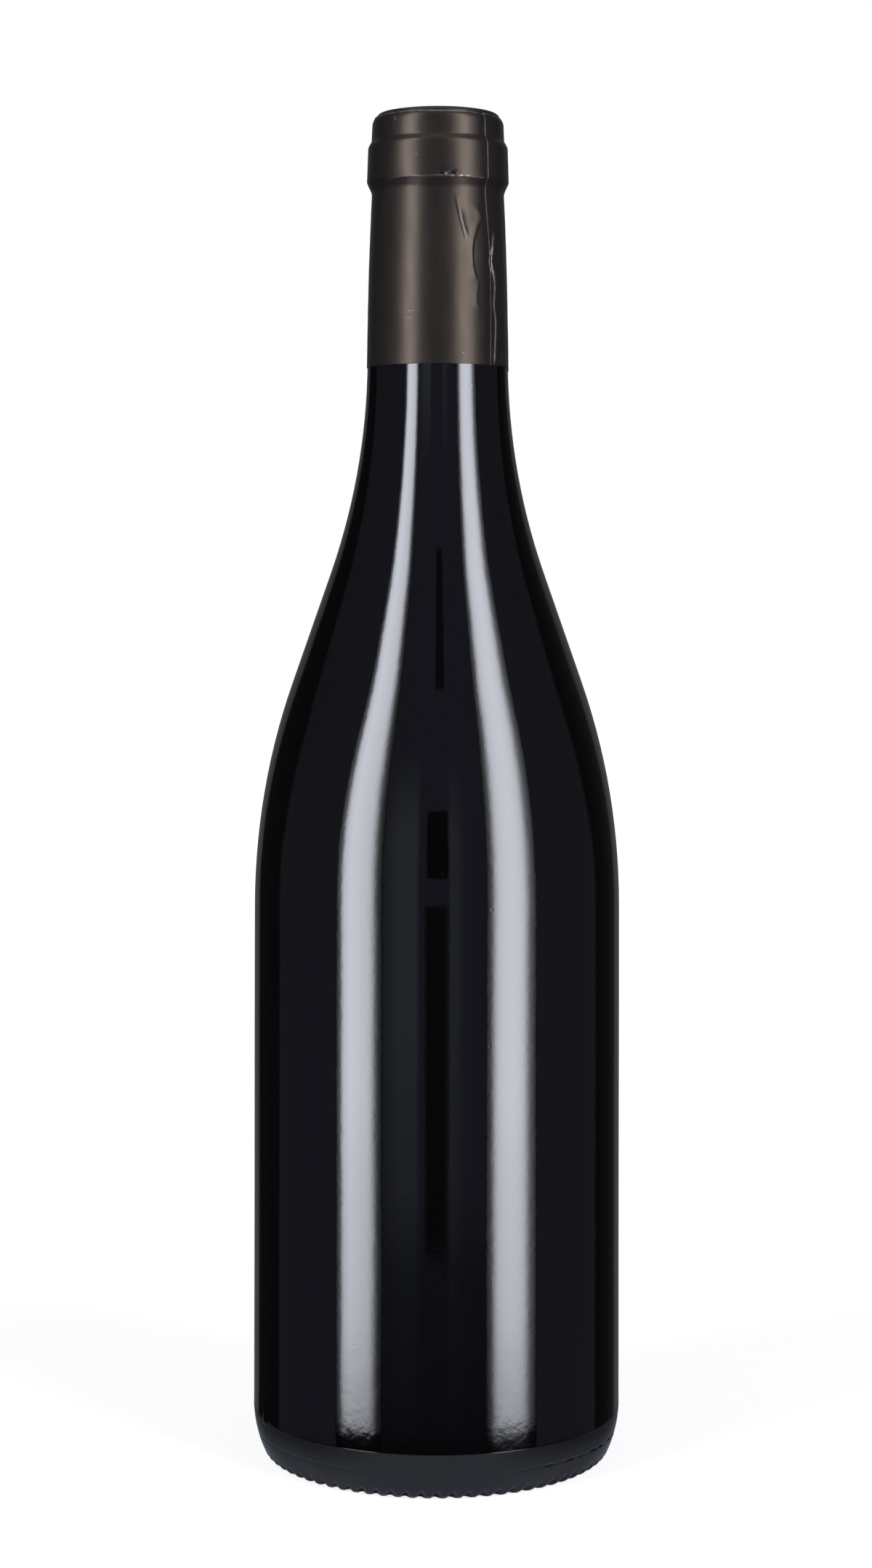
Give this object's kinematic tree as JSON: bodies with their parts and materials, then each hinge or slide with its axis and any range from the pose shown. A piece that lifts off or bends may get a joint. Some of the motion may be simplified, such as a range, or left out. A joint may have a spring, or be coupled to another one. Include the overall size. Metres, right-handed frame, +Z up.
{
  "type": "wine bottle",
  "caption": "Closed wine bottle with long sloping shoulders, dark glass, foil capsule over the ringed neck, hollow base with grip marks.",
  "frame": {"origin": "centre of the bottle's base, on the surface that it stands on", "axes": "+Z up along the bottle's axis; -Y is the front, +X the right-hand side seen from the front"},
  "size_m": [0.081, 0.081, 0.2966],
  "materials": {
    "dark_glass": "glossy moulded glass, near black with its contents behind it",
    "capsule_foil": "satin dark pewter-brown lacquered tin foil"
  },
  "bodies": {
    "root": {"bottle": "dark_glass", "capsule_skirt": "capsule_foil", "capsule_disc": "capsule_foil"}
  },
  "joints": []
}
